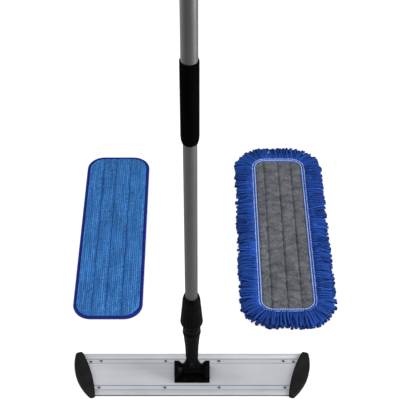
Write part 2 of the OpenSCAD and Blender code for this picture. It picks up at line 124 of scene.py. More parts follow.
class MopStageSettings(bpy.types.PropertyGroup):
    """Camera, floor and lamps."""

    camera_height: length_setting("Camera height", "Height of the camera above the floor", 1.667)
    camera_distance: length_setting("Camera distance", "Distance in front of the handle", 1.195)
    camera_side: length_setting("Camera side", "How far the camera stands to the right", 0.015)
    camera_pitch: bpy.props.FloatProperty(
        name="Camera pitch", description="Angle at which the camera looks down",
        default=math.radians(45), subtype="ANGLE")
    lens: bpy.props.FloatProperty(
        name="Lens", description="Focal length in millimetres", default=95.9, min=1, unit="CAMERA")
    floor_size: length_setting("Floor size", "Side of the floor", 30, high=100)
    floor_colour: colour_setting("Floor colour", "Colour of the floor", (0.5, 0.5, 0.5))
    top_power: power_setting("Top lamp", "Power of the lamp above", 42)
    key_power: power_setting("Key lamp", "Power of the lamp at the right", 74)
    rim_power: power_setting("Rim lamp", "Power of the lamp at the left", 30)
    sky_strength: bpy.props.FloatProperty(
        name="Sky", description="Strength of the even light", default=0.34, min=0, subtype="FACTOR")


class MopFrameSettings(bpy.types.PropertyGroup):
    """Finish of the frame, swivel and handle."""

    plate_colour: colour_setting("Plate", "Anodised aluminium", (0.555, 0.575, 0.61))
    tube_colour: colour_setting("Tubes", "Lacquered aluminium", (0.122, 0.122, 0.122))
    cap_colour: colour_setting("End caps", "Textured plastic", (0.009, 0.009, 0.0095))
    plastic_colour: colour_setting("Plastic", "Moulded black plastic", (0.0012, 0.0012, 0.0012))
    grip_colour: colour_setting("Grips", "Matt rubber", (0.0006, 0.0006, 0.0006))
    steel_colour: colour_setting("Steel", "Pins, rivets and screws", (0.18, 0.18, 0.19))
    screw_colour: colour_setting("Swivel screws", "Blackened screws and pins", (0.012, 0.012, 0.013))
    nylon_colour: colour_setting("Nylon", "Inner pieces of natural nylon", (0.7, 0.69, 0.62))
    tape_colour: colour_setting("Hook tape", "Hook strips under the plate", (0.03, 0.03, 0.033))
    metal_edge: length_setting("Metal edge", "Rounding of a metal edge", 0.0003)
    plastic_edge: length_setting("Plastic edge", "Rounding of a plastic edge", 0.0007)


class MopWetPadSettings(bpy.types.PropertyGroup):
    """Sizes and colours of the wet pad."""

    rib: length_setting("Rib", "Width of one rib of loops", 0.004)
    pile: length_setting("Pile", "Height of the loops", 0.0016)
    puff: length_setting("Puff", "How far the pad swells between its channels", 0.0028)
    # Light and dark loops: painted light on the loop tips and painted shade in the valleys.
    light_colour: colour_setting("Light loops", "Loops in the light", (0.065, 0.27, 0.68))
    dark_colour: colour_setting("Dark loops", "Loops in the valleys", (0.014, 0.085, 0.33))
    binding_colour: colour_setting("Binding", "Woven binding tape", (0.003, 0.011, 0.19))
    backing_colour: colour_setting("Backing", "Loop side that the frame grips", (0.7, 0.71, 0.72))


class MopDustPadSettings(bpy.types.PropertyGroup):
    """Sizes and colours of the dust pad."""

    finger_gap: length_setting("Finger gap", "Distance from one yarn loop to the next", 0.0062)
    finger_radius: length_setting("Finger radius", "Radius of a yarn loop", 0.0031)
    stitch: length_setting("Stitch", "Length of one stitch", 0.0046)
    puff: length_setting("Puff", "How far the panel swells between its seams", 0.0022)
    panel_light: colour_setting("Panel light", "Light fibres of the panel", (0.158, 0.167, 0.186))
    panel_dark: colour_setting("Panel dark", "Dark fibres of the panel", (0.068, 0.073, 0.087))
    # Yarn light and dark: painted light on the loop tops, painted shade in the gaps and on the lower
    # layers.
    yarn_light: colour_setting("Yarn light", "Yarn in the light", (0.022, 0.105, 0.51))
    yarn_dark: colour_setting("Yarn dark", "Yarn in the gaps", (0.0017, 0.011, 0.105))
    tape_colour: colour_setting("Tape", "Tape round the panel", (0.012, 0.075, 0.45))
    stitch_colour: colour_setting("Stitches", "Thread of the two rows of stitches", (0.4, 0.55, 0.95))


# ---- materials ----

def add_node(tree, kind, inputs=None, **options):
    """Adds a shader node, sets its options, and sets or links its inputs."""
    node = tree.nodes.new(kind)
    for name, value in options.items():
        setattr(node, name, value)
    for name, value in (inputs or {}).items():
        if isinstance(value, bpy.types.NodeSocket):
            tree.links.new(value, node.inputs[name])
        else:
            node.inputs[name].default_value = value
    return node


def rgba(colour, share=1.0):
    """A colour with its alpha, lightened or darkened by a share."""
    return (*(min(1, c * share) for c in colour), 1)


def start_material(name, roughness, metallic=0.0, specular=0.5):
    """A material with a principled shader, and its tree and object coordinates."""
    material = bpy.data.materials.new(name)
    material.use_nodes = True
    tree = material.node_tree
    shader = tree.nodes["Principled BSDF"]
    shader.inputs["Roughness"].default_value = roughness
    shader.inputs["Metallic"].default_value = metallic
    shader.inputs["Specular IOR Level"].default_value = specular
    place = add_node(tree, "ShaderNodeTexCoord").outputs["Object"]
    return material, tree, shader, place


def stretched_noise(tree, place, scale, detail=4.0):
    """Noise at one scale along each axis, in cycles per metre."""
    mapping = add_node(tree, "ShaderNodeMapping", {"Vector": place, "Scale": scale})
    texture = add_node(tree, "ShaderNodeTexNoise",
                       {"Vector": mapping.outputs["Vector"], "Scale": 1.0, "Detail": detail})
    return texture.outputs["Fac"]


def two_tone(tree, factor, dark, light, low=0.3, high=0.7):
    """A ramp from a dark to a light colour."""
    ramp = add_node(tree, "ShaderNodeValToRGB", {"Fac": factor})
    ramp.color_ramp.elements[0].position = low
    ramp.color_ramp.elements[0].color = rgba(dark)
    ramp.color_ramp.elements[1].position = high
    ramp.color_ramp.elements[1].color = rgba(light)
    return ramp.outputs["Color"]


def mixed(tree, kind, share, first, second):
    """Two colours mixed in a given way."""
    mix = add_node(tree, "ShaderNodeMix", data_type="RGBA", blend_type=kind)
    for name, value in (("Factor", share), ("A", first), ("B", second)):
        socket = next(s for s in mix.inputs if s.name == name and s.enabled)
        if isinstance(value, bpy.types.NodeSocket):
            tree.links.new(value, socket)
        else:
            socket.default_value = value
    return next(s for s in mix.outputs if s.enabled)


def vary_roughness(tree, shader, factor, low, high):
    """Roughness that wanders between two values."""
    spread = add_node(tree, "ShaderNodeMapRange",
                      {"Value": factor, "From Min": 0.3, "From Max": 0.7, "To Min": low, "To Max": high})
    tree.links.new(spread.outputs["Result"], shader.inputs["Roughness"])


def add_bump(tree, shader, height, strength, distance):
    """Fine relief from a height."""
    bump = add_node(tree, "ShaderNodeBump", {"Height": height, "Strength": strength, "Distance": distance})
    tree.links.new(bump.outputs["Normal"], shader.inputs["Normal"])


def brushed_metal(name, colour, along, roughness=0.38, metallic=1.0, contrast=0.12, relief=0.1):
    """Metal with fine lines along one axis, and a few dull patches."""
    material, tree, shader, place = start_material(name, roughness, metallic)
    fine = [900.0, 900.0, 900.0]
    fine[along] = 6.0
    lines = stretched_noise(tree, place, fine, 3.0)
    patches = stretched_noise(tree, place, (14.0, 14.0, 14.0), 2.0)
    tone = two_tone(tree, lines, [c * (1 - contrast) for c in colour], colour)
    cloudy = two_tone(tree, patches, (0.9, 0.9, 0.9), (1, 1, 1))
    tree.links.new(mixed(tree, "MULTIPLY", 1.0, tone, cloudy), shader.inputs["Base Color"])
    vary_roughness(tree, shader, lines, roughness - 0.06, roughness + 0.08)
    add_bump(tree, shader, lines, relief, 0.0002)
    return material


def moulded_plastic(name, colour, grain, depth, roughness, specular=0.06):
    """Moulded plastic or rubber with a spark-eroded grain and faint scuffs."""
    material, tree, shader, place = start_material(name, roughness, specular=specular)
    grains = stretched_noise(tree, place, (grain, grain, grain), 3.0)
    scuffs = stretched_noise(tree, place, (60.0, 60.0, 25.0), 5.0)
    tone = two_tone(tree, scuffs, colour, [c * 1.6 + 0.0005 for c in colour], 0.45, 0.8)
    tree.links.new(tone, shader.inputs["Base Color"])
    vary_roughness(tree, shader, scuffs, roughness - 0.07, roughness + 0.1)
    add_bump(tree, shader, grains, 0.4, depth)
    return material


def hook_tape(name, colour):
    """Woven tape with rows of tiny hooks."""
    material, tree, shader, place = start_material(name, 0.8, specular=0.2)
    hooks = add_node(tree, "ShaderNodeTexVoronoi", {"Vector": place, "Scale": 700.0}).outputs["Distance"]
    tone = two_tone(tree, hooks, [c * 2.2 for c in colour], colour, 0.1, 0.6)
    tree.links.new(tone, shader.inputs["Base Color"])
    add_bump(tree, shader, hooks, 1.0, 0.0006)
    return material


def pile_cloth(name, dark, light, streak, sheen=0.04, worn=0.2):
    """Looped cloth: its tone attribute runs from 0 in the gaps, painted shade, to 1 on the tips, painted
    light, with streaks of fibre.
    """
    material, tree, shader, place = start_material(name, 0.92, specular=0.15)
    shader.inputs["Sheen Weight"].default_value = sheen
    shader.inputs["Sheen Tint"].default_value = rgba(light, 2)
    tone = add_node(tree, "ShaderNodeAttribute", attribute_name="tone").outputs["Fac"]
    fibres = stretched_noise(tree, place, streak, 4.0)
    clouds = stretched_noise(tree, place, (25.0, 25.0, 25.0), 2.0)
    # The ramp paints the shade in the gaps and the light on the tips.
    body = two_tone(tree, tone, dark, light, 0.0, 1.0)
    streaks = two_tone(tree, fibres, [0.55] * 3, [1.3] * 3, 0.32, 0.68)
    patchy = two_tone(tree, clouds, [1 - worn] * 3, [1 + worn / 2] * 3)
    streaked = mixed(tree, "MULTIPLY", 1.0, body, streaks)
    tree.links.new(mixed(tree, "MULTIPLY", 1.0, streaked, patchy), shader.inputs["Base Color"])
    add_bump(tree, shader, fibres, 0.8, 0.0008)
    return material


def woven_cloth(name, colour, thread, sheen=0.01):
    """Plain woven tape or thread: two crossing sets of fine waves."""
    material, tree, shader, place = start_material(name, 0.85, specular=0.2)
    shader.inputs["Sheen Weight"].default_value = sheen
    warp = add_node(tree, "ShaderNodeTexWave", {"Vector": place, "Scale": thread, "Distortion": 1.5},
                    wave_type="BANDS", bands_direction="DIAGONAL").outputs["Fac"]
    fuzz = stretched_noise(tree, place, (900.0, 900.0, 900.0), 3.0)
    tone = two_tone(tree, warp, [c * 0.7 for c in colour], [min(1, c * 1.15) for c in colour], 0.1, 0.9)
    soft = two_tone(tree, fuzz, [0.8] * 3, [1.15] * 3)
    tree.links.new(mixed(tree, "MULTIPLY", 1.0, tone, soft), shader.inputs["Base Color"])
    add_bump(tree, shader, warp, 0.5, 0.0003)
    return material


def melange_cloth(name, dark, light, seam_shade):
    """Mottled grey cloth, with painted shade where its tone attribute says that a seam pulls it into a
    crease.
    """
    material, tree, shader, place = start_material(name, 0.93, specular=0.12)
    shader.inputs["Sheen Weight"].default_value = 0.15
    flecks = stretched_noise(tree, place, (520.0, 300.0, 520.0), 5.0)
    clouds = stretched_noise(tree, place, (55.0, 90.0, 60.0), 6.0)
    tone = add_node(tree, "ShaderNodeAttribute", attribute_name="tone").outputs["Fac"]
    body = two_tone(tree, flecks, dark, light, 0.32, 0.68)
    patchy = two_tone(tree, clouds, [0.45] * 3, [1.2] * 3, 0.3, 0.64)
    seam_shaded = two_tone(tree, tone, [seam_shade] * 3, [1.0] * 3, 0.0, 1.0)
    mottled = mixed(tree, "MULTIPLY", 1.0, body, patchy)
    tree.links.new(mixed(tree, "MULTIPLY", 1.0, mottled, seam_shaded), shader.inputs["Base Color"])
    add_bump(tree, shader, flecks, 0.7, 0.0006)
    return material


# ---- mesh helpers ----

def finish_piece(shape, name, material, body, sharp=None):
    """Turns a bmesh into a piece that rides on a body. Edges sharper than the given angle stay crisp."""
    for face in shape.faces:
        face.smooth = sharp is None or len(face.verts) <= 4
    if sharp is not None:
        for edge in shape.edges:
            edge.smooth = not (edge.is_manifold and edge.calc_face_angle(0) > sharp)
    mesh = bpy.data.meshes.new(name)
    shape.to_mesh(mesh)
    shape.free()
    mesh.materials.append(material)
    piece = bpy.data.objects.new(name, mesh)
    bpy.context.scene.collection.objects.link(piece)
    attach(piece, body)
    return piece


def body_of_node(node):
    """The name of the body that holds a CAD node."""
    for body, nodes in frame["record"]["behaviour"]["bodies"].items():
        if node in nodes:
            return body
    raise RuntimeError(f"no body holds {node}")


def polished(node, material, edge, segments=2, sharp=math.radians(32)):
    """A copy of a CAD node with merged faces and rounded edges, which stands for it."""
    if node not in frame["nodes"]:
        raise RuntimeError(f"the frame has no node {node}")
    shape = bmesh.new()
    shape.from_mesh(frame["nodes"][node].data)
    bmesh.ops.remove_doubles(shape, verts=shape.verts, dist=1e-6)
    bmesh.ops.dissolve_limit(shape, angle_limit=math.radians(0.4), verts=shape.verts, edges=shape.edges,
                             delimit={"NORMAL"})
    bmesh.ops.recalc_face_normals(shape, faces=shape.faces)
    if edge:
        corners = [e for e in shape.edges if e.is_manifold and e.calc_face_angle(0) > sharp]
        bmesh.ops.bevel(shape, geom=corners, offset=edge, offset_type="OFFSET", segments=segments,
                        profile=0.5, affect="EDGES", clamp_overlap=True, material=-1)
    piece = finish_piece(shape, f"{node}_finished", material, body_of_node(node), sharp)
    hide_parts(node)
    return piece


def rounded_walk(length, width, corner, count):
    """Evenly spaced points round a rounded rectangle centred on the origin, each with its way out."""
    sides = [length - 2 * corner, width - 2 * corner] * 2
    halves = [width / 2, length / 2] * 2
    arc = math.pi * corner / 2
    total = sum(sides) + 4 * arc
    walk = []
    for i in range(count):
        left = total * i / count
        for k in range(4):
            out = Vector((round(math.cos(k * math.pi / 2)), round(math.sin(k * math.pi / 2)), 0))
            along = Vector((-out.y, out.x, 0))
            if left < sides[k]:
                walk.append((out * halves[k] + along * (left - sides[k] / 2), out))
                break
            left -= sides[k]
            if left < arc:
                turn = left / corner
                way = out * math.cos(turn) + along * math.sin(turn)
                centre = out * (halves[k] - corner) + along * (sides[k] / 2)
                walk.append((centre + way * corner, way))
                break
            left -= arc
    return walk


def edge_distance(point, length, width, corner):
    """How far inside a rounded rectangle a point is."""
    x = abs(point.x) - (width / 2 - corner)
    y = abs(point.y) - (length / 2 - corner)
    return corner - math.hypot(max(x, 0), max(y, 0)) - min(max(x, y), 0)


def rounded_slab(length, width, corner, low, high, cell, seams=()):
    """A closed slab centred on the origin, cut into square cells and along its seams."""
    shape = bmesh.new()
    bmesh.ops.create_grid(shape, x_segments=1, y_segments=1, size=0.5)
    bmesh.ops.scale(shape, vec=(width, length, 1), verts=shape.verts)
    bmesh.ops.bevel(shape, geom=shape.verts[:], offset=corner, offset_type="OFFSET", segments=12,
                    profile=0.5, affect="VERTICES", material=-1)
    rows = int(length / 2 / cell)
    columns = int(width / 2 / cell)
    cuts = [(Vector((0, i * cell, 0)), Vector((0, 1, 0))) for i in range(-rows, rows + 1)]
    cuts += [(Vector((i * cell, 0, 0)), Vector((1, 0, 0))) for i in range(-columns, columns + 1)]
    cuts += [(Vector((x, 0, 0)), Vector((1, 0, 0))) for x in seams]
    for place, way in cuts:
        bmesh.ops.bisect_plane(shape, geom=shape.verts[:] + shape.edges[:] + shape.faces[:],
                               dist=cell * 0.02, plane_co=place, plane_no=way)
    bmesh.ops.remove_doubles(shape, verts=shape.verts, dist=cell * 0.1)
    bmesh.ops.translate(shape, vec=(0, 0, low), verts=shape.verts)
    raised = bmesh.ops.extrude_face_region(shape, geom=shape.faces[:])["geom"]
    bmesh.ops.translate(shape, vec=(0, 0, high - low),
                        verts=[g for g in raised if isinstance(g, bmesh.types.BMVert)])
    bmesh.ops.recalc_face_normals(shape, faces=shape.faces)
    return shape


def swell(shape, name, held, most):
    """Blows a slab up as cloth, with the held points sewn down, and caps how far a point may move."""
    mesh = bpy.data.meshes.new(name)
    shape.to_mesh(mesh)
    cover = bpy.data.objects.new(name, mesh)
    scene = bpy.context.scene
    scene.collection.objects.link(cover)
    sewn_points = [v.index for v in mesh.vertices if held(v.co)]
    if not sewn_points:
        raise RuntimeError(f"nothing holds {name} down")
    cover.vertex_groups.new(name="sewn").add(sewn_points, 1.0, "ADD")
    cloth = cover.modifiers.new("Swell", "CLOTH")
    cloth.settings.vertex_group_mass = "sewn"
    cloth.settings.use_pressure = True
    cloth.settings.uniform_pressure_force = SWELL_PRESSURE
    cloth.settings.effector_weights.gravity = 0
    cloth.settings.shrink_min = -SWELL_SLACK
    cloth.settings.mass = 0.02
    cloth.settings.tension_stiffness = 1
    cloth.settings.compression_stiffness = 1
    cloth.settings.bending_stiffness = 0.01
    cloth.collision_settings.use_collision = False
    cloth.point_cache.frame_start = 1
    cloth.point_cache.frame_end = SWELL_FRAMES
    for step in range(1, SWELL_FRAMES + 1):
        scene.frame_set(step)
    blown = cover.evaluated_get(bpy.context.evaluated_depsgraph_get()).to_mesh()
    shape.verts.ensure_lookup_table()
    for vertex, target in zip(shape.verts, blown.vertices):
        move = target.co - vertex.co
        if move.length > most:
            move = move.normalized() * most
        vertex.co += move
    scene.frame_set(1)
    bpy.data.objects.remove(cover)
    bpy.data.meshes.remove(mesh)


def sweep_round(shape, walk, wide, tall, middle, sides):
    """A closed ring of oval section along a walk. wide and tall are its half sizes, middle its height."""
    count = len(walk)
    section = bmesh.ops.create_circle(shape, segments=sides, radius=1)
    upright = Matrix.Rotation(math.pi / 2, 3, "X")
    bmesh.ops.rotate(shape, matrix=upright, verts=section["verts"])
    bmesh.ops.translate(shape, vec=(3, 0, 0), verts=section["verts"])
    bmesh.ops.spin(shape, geom=shape.verts[:] + shape.edges[:], cent=(0, 0, 0), axis=UP,
                   angle=2 * math.pi, steps=count, use_merge=True)
    for vertex in shape.verts:
        place, out = walk[round(math.atan2(vertex.co.y, vertex.co.x) / (2 * math.pi) * count) % count]
        across = math.hypot(vertex.co.x, vertex.co.y) - 3
        vertex.co = place + out * (wide * across) + UP * (middle + tall * vertex.co.z)
    bmesh.ops.recalc_face_normals(shape, faces=shape.faces)
    return shape.verts


def top_faces(shape):
    """The faces of a slab that look up."""
    return [f for f in shape.faces if f.normal.z > 0.5]


def pad_centre(node):
    """The middle of a pad on the floor."""
    low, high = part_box(node)
    return Vector(((low.x + high.x) / 2, (low.y + high.y) / 2, 0))


# ---- stage ----

class MOP_OT_stage(bpy.types.Operator):
    """Add the floor, the even light, three lamps and the camera"""

    bl_idname = "mop.stage"
    bl_label = "Stage"

    def execute(self, context):
        settings = context.scene.mop_stage
        context.scene.view_settings.view_transform = "Standard"
        self.add_camera(context, settings)
        self.add_floor(context, settings)
        self.add_sky(context, settings)
        self.add_lamp(context, "top_lamp", (-0.3, -0.7, 2.9), 2.0, settings.top_power)
        self.add_lamp(context, "key_lamp", (2.05, -0.59, 0.6), 0.9, settings.key_power)
        self.add_lamp(context, "rim_lamp", (-2.0, 0.45, 0.65), 0.8, settings.rim_power)
        return {"FINISHED"}

    def add_camera(self, context, settings):
        camera = bpy.data.cameras.new("view")
        camera.lens = settings.lens
        camera.clip_end = 50
        stand = bpy.data.objects.new("view", camera)
        stand.location = (settings.camera_side, -settings.camera_distance, settings.camera_height)
        stand.rotation_euler = (math.pi / 2 - settings.camera_pitch, 0, 0)
        context.scene.collection.objects.link(stand)
        context.scene.camera = stand

    def add_floor(self, context, settings):
        shape = bmesh.new()
        bmesh.ops.create_grid(shape, x_segments=1, y_segments=1, size=settings.floor_size / 2)
        mesh = bpy.data.meshes.new("floor")
        shape.to_mesh(mesh)
        shape.free()
        floor = bpy.data.objects.new("floor", mesh)
        context.scene.collection.objects.link(floor)
        material, tree, shader, place = start_material("floor_paper", 0.95, specular=0.1)
        shader.inputs["Base Color"].default_value = rgba(settings.floor_colour)
        rays = add_node(tree, "ShaderNodeLightPath")
        reach = add_node(tree, "ShaderNodeVectorMath", {0: place}, operation="LENGTH")
        far = add_node(tree, "ShaderNodeMapRange", {"Value": reach.outputs["Value"], "From Min": 0.8,
                                                    "From Max": 2.4, "To Min": 0.6, "To Max": 0.95})
        glow = add_node(tree, "ShaderNodeEmission",
                        {"Color": (1, 1, 1, 1), "Strength": far.outputs["Result"]})
        lit = add_node(tree, "ShaderNodeAddShader")
        tree.links.new(shader.outputs["BSDF"], lit.inputs[0])
        tree.links.new(glow.outputs["Emission"], lit.inputs[1])
        seen = add_node(tree, "ShaderNodeMixShader", {"Fac": rays.outputs["Is Camera Ray"]})
        tree.links.new(shader.outputs["BSDF"], seen.inputs[1])
        tree.links.new(lit.outputs["Shader"], seen.inputs[2])
        tree.links.new(seen.outputs["Shader"], tree.nodes["Material Output"].inputs["Surface"])
        mesh.materials.append(material)

    def add_sky(self, context, settings):
        world = bpy.data.worlds.new("soft_room")
        world.use_nodes = True
        tree = world.node_tree
        even = tree.nodes["Background"]
        even.inputs["Color"].default_value = (1, 1, 1, 1)
        even.inputs["Strength"].default_value = settings.sky_strength
        white = add_node(tree, "ShaderNodeBackground", {"Color": (1, 1, 1, 1), "Strength": 1.0})
        rays = add_node(tree, "ShaderNodeLightPath")
        seen = add_node(tree, "ShaderNodeMixShader", {"Fac": rays.outputs["Is Camera Ray"]})
        tree.links.new(even.outputs["Background"], seen.inputs[1])
        tree.links.new(white.outputs["Background"], seen.inputs[2])
        tree.links.new(seen.outputs["Shader"], tree.nodes["World Output"].inputs["Surface"])
        context.scene.world = world

    def add_lamp(self, context, name, place, size, power):
        lamp = bpy.data.lights.new(name, "AREA")
        lamp.size = size
        lamp.energy = power
        holder = bpy.data.objects.new(name, lamp)
        holder.location = place
        aim = Vector((0, 0.1, 0.4)) - Vector(place)
        holder.rotation_euler = aim.to_track_quat("-Z", "Y").to_euler()
        context.scene.collection.objects.link(holder)


# ---- hard pieces ----

class MOP_OT_frame(bpy.types.Operator):
    """Finish the plate, its end caps, rivets and hook strips"""

    bl_idname = "mop.frame"
    bl_label = "Frame"

    def execute(self, context):
        look = context.scene.mop_frame
        plate = brushed_metal("anodised_plate", look.plate_colour, along=0, roughness=0.56, metallic=0.4)
        self.paint_track_and_lip_shade(plate)
        caps = moulded_plastic("cap_plastic", look.cap_colour, grain=900.0, depth=0.0006, roughness=0.6)
        steel = brushed_metal("rivet_steel", look.steel_colour, along=2, roughness=0.35)
        tape = hook_tape("hook_tape", look.tape_colour)
        polished("frame_plate", plate, look.metal_edge)
        for side in ("left", "right"):
            polished(f"end_cap_{side}", caps, 0, sharp=math.radians(50))
            for row in ("front", "rear"):
                polished(f"hook_strip_{row}_{side}", tape, look.metal_edge)
        for node in ("cap_rivets", "strip_rivets"):
            polished(node, steel, 0)
        return {"FINISHED"}

    def paint_track_and_lip_shade(self, plate):
        """Painted shade: thin darker lines along the walls of the two tracks, and darker outer faces on the
        lips.
        """
        tree = plate.node_tree
        shader = tree.nodes["Principled BSDF"]
        place = add_node(tree, "ShaderNodeTexCoord").outputs["Object"]
        depth = add_node(tree, "ShaderNodeSeparateXYZ", {"Vector": place}).outputs["Y"]
        either = add_node(tree, "ShaderNodeMath", {0: depth}, operation="ABSOLUTE").outputs["Value"]
        centred = add_node(tree, "ShaderNodeMath", {0: either, 1: TRACK_CENTRE}, operation="SUBTRACT")
        across = add_node(tree, "ShaderNodeMath", {0: centred.outputs["Value"]}, operation="ABSOLUTE")
        off = add_node(tree, "ShaderNodeMath", {0: across.outputs["Value"], 1: TRACK_HALF},
                       operation="SUBTRACT")
        near = add_node(tree, "ShaderNodeMath", {0: off.outputs["Value"]}, operation="ABSOLUTE")
        # Painted shade along the walls of the two recessed tracks.
        line = two_tone(tree, add_node(tree, "ShaderNodeMapRange", {
            "Value": near.outputs["Value"], "From Min": 0.0003, "From Max": 0.0011}).outputs["Result"],
            [0.4, 0.41, 0.45], [1.0] * 3, 0.0, 1.0)
        # Painted shade on the outer faces of the lips.
        lip_shade = two_tone(tree, add_node(tree, "ShaderNodeMapRange", {
            "Value": either, "From Min": LIP_FACE - 0.0004, "From Max": LIP_FACE}).outputs["Result"],
            [1.0] * 3, [0.3] * 3, 0.0, 1.0)
        colour = shader.inputs["Base Color"].links[0].from_socket
        track_shaded = mixed(tree, "MULTIPLY", 1.0, colour, line)
        tree.links.new(mixed(tree, "MULTIPLY", 1.0, track_shaded, lip_shade), shader.inputs["Base Color"])


class MOP_OT_swivel(bpy.types.Operator):
    """Finish the bracket, the cross, the neck, the collar nut and their pins"""

    bl_idname = "mop.swivel"
    bl_label = "Swivel"

    def execute(self, context):
        look = context.scene.mop_frame
        black = moulded_plastic("black_plastic", look.plastic_colour, grain=1300.0, depth=0.0002,
                                roughness=0.45, specular=0.035)
        steel = brushed_metal("blackened_steel", look.screw_colour, along=0, roughness=0.5)
        nylon = moulded_plastic("natural_nylon", look.nylon_colour, grain=600.0, depth=0.0001,
                                roughness=0.45, specular=0.4)
        for node in ("swivel_bracket", "swivel_cross", "neck", "collar_nut"):
            polished(node, black, look.plastic_edge)
        for node in ("tilt_pin", "swing_pin"):
            polished(node, steel, look.metal_edge)
        polished("bracket_screws", steel, 0)
        polished("collet", nylon, 0)
        return {"FINISHED"}


class MOP_OT_handle(bpy.types.Operator):
    """Finish the two tubes, the grips, the top cap and the twist lock"""

    bl_idname = "mop.handle"
    bl_label = "Handle"

    def execute(self, context):
        look = context.scene.mop_frame
        tube = brushed_metal("lacquered_tube", look.tube_colour, along=2, roughness=0.42,
                             metallic=0.85, contrast=0.05, relief=0.004)
        rubber = moulded_plastic("grip_rubber", look.grip_colour, grain=1500.0, depth=0.0005,
                                 roughness=0.85, specular=0.012)
        black = moulded_plastic("cap_black", look.plastic_colour, grain=1300.0, depth=0.0002,
                                roughness=0.45, specular=0.035)
        steel = brushed_metal("lock_steel", look.steel_colour, along=0, roughness=0.3)
        nylon = moulded_plastic("lock_nylon", look.nylon_colour, grain=600.0, depth=0.0001,
                                roughness=0.45, specular=0.4)
        for nodes, material, edge in (
                (("lower_tube", "upper_tube"), tube, 0),
                (("mid_grip", "top_grip"), rubber, look.plastic_edge),
                (("top_cap", "tube_foot", "lock_cone"), black, look.plastic_edge),
                (("core_pin",), steel, 0),
                (("lock_core", "lock_ring", "guide_bush"), nylon, 0)):
            for node in nodes:
                polished(node, material, edge)
        return {"FINISHED"}


# ---- pads ----

class MOP_OT_wet_pad(bpy.types.Operator):
    """Model the wet pad: swollen ribbed face, rolled binding and loop backing"""

    bl_idname = "mop.wet_pad"
    bl_label = "Wet Pad"

    def execute(self, context):
        look = context.scene.mop_wet_pad
        low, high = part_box("wet_pad_binding")
        self.length = high.y - low.y
        self.width = high.x - low.x
        self.corner = WET_PAD_CORNER
        self.centre = pad_centre("wet_pad_binding")
        self.add_face(look)
        self.add_binding(look)
        self.add_backing(look)
        return {"FINISHED"}

    def add_face(self, look):
        inner_low, inner_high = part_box("wet_pad_face")
        core_low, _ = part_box("wet_pad_core")
        length = inner_high.y - inner_low.y
        width = inner_high.x - inner_low.x
        corner = self.corner - (self.width - width) / 2
        top = inner_high.z - look.puff
        channels = [width * share for share in WET_PAD_CHANNELS]
        channels = [round(x / look.rib) * look.rib for x in channels]
        shape = rounded_slab(length, width, corner, core_low.z, top, look.rib)

        def sewn(co):
            on_channel = any(abs(co.x - x) < NEAR for x in channels)
            return co.z < top - NEAR or on_channel or edge_distance(co, length, width, corner) < 10 * NEAR

        swell(shape, "wet_pad_swell", sewn, look.puff)
        top_edges = {e for f in top_faces(shape) for e in f.edges}
        bmesh.ops.subdivide_edges(shape, edges=list(top_edges), cuts=3, use_grid_fill=True)
        self.raise_loops(shape, look, length, width, corner, channels)
        bmesh.ops.translate(shape, vec=self.centre, verts=shape.verts)
        cloth = pile_cloth("blue_microfibre", look.dark_colour, look.light_colour,
                           streak=(450.0, 170.0, 450.0))
        piece = finish_piece(shape, "wet_pad_face_loops", cloth, "wet_pad")
        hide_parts("wet_pad_face", "wet_pad_core")

    def raise_loops(self, shape, look, length, width, corner, channels):
        """Ribs of loops along the pad, lower over the channels and towards the edge."""
        chance = random.Random(PAD_SEED)
        shifts = {}
        tones = shape.verts.layers.float.new("tone")
        for vertex in shape.verts:
            vertex[tones] = 0.3
            if vertex.normal.z < 0.3:
                continue
            co = vertex.co
            rib = math.floor(co.x / look.rib + NEAR)
            if rib not in shifts:
                shifts[rib] = (chance.random(), chance.uniform(0.8, 1.25))
            shift, stretch = shifts[rib]
            across = abs(math.sin(math.pi * co.x / look.rib))
            along = abs(math.sin(math.pi * (co.y / (look.rib * 1.6 * stretch) + shift)))
            wander = noise.noise(Vector((co.x * 60, co.y * 22, shift * 9)))
            loop = across * (0.55 + 0.45 * along) * (1 + 0.5 * wander)
            inside = edge_distance(co, length, width, corner)
            fade = min(1, max(0, inside / 0.004))
            near = min(abs(co.x - x) for x in channels)
            groove = min(1, 0.2 + near / 0.006)
            co.z += look.pile * loop * fade * groove
            # Tone: painted light on the loop tips and painted shade in the gaps and towards the channels,
            # with a random wander.
            vertex[tones] = max(0, min(1, (0.15 + 0.85 * loop) * (0.35 + 0.65 * groove) + 0.25 * wander))

    def add_binding(self, look):
        low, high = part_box("wet_pad_binding")
        radius = BINDING_RADIUS
        half = (high.z - low.z) / 2
        walk = rounded_walk(self.length - 2 * radius, self.width - 2 * radius, self.corner - radius, 360)
        shape = bmesh.new()
        ring = sweep_round(shape, walk, radius, half + 0.0006, low.z + half + 0.0008, 12)
        bmesh.ops.translate(shape, vec=self.centre, verts=ring)
        cloth = woven_cloth("navy_binding", look.binding_colour, thread=380.0)
        piece = finish_piece(shape, "wet_pad_binding_tape", cloth, "wet_pad")
        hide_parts("wet_pad_binding")

    def add_backing(self, look):
        cloth = woven_cloth("loop_backing", look.backing_colour, thread=260.0)
        piece = polished("wet_pad_backing", cloth, edge=0.0003)


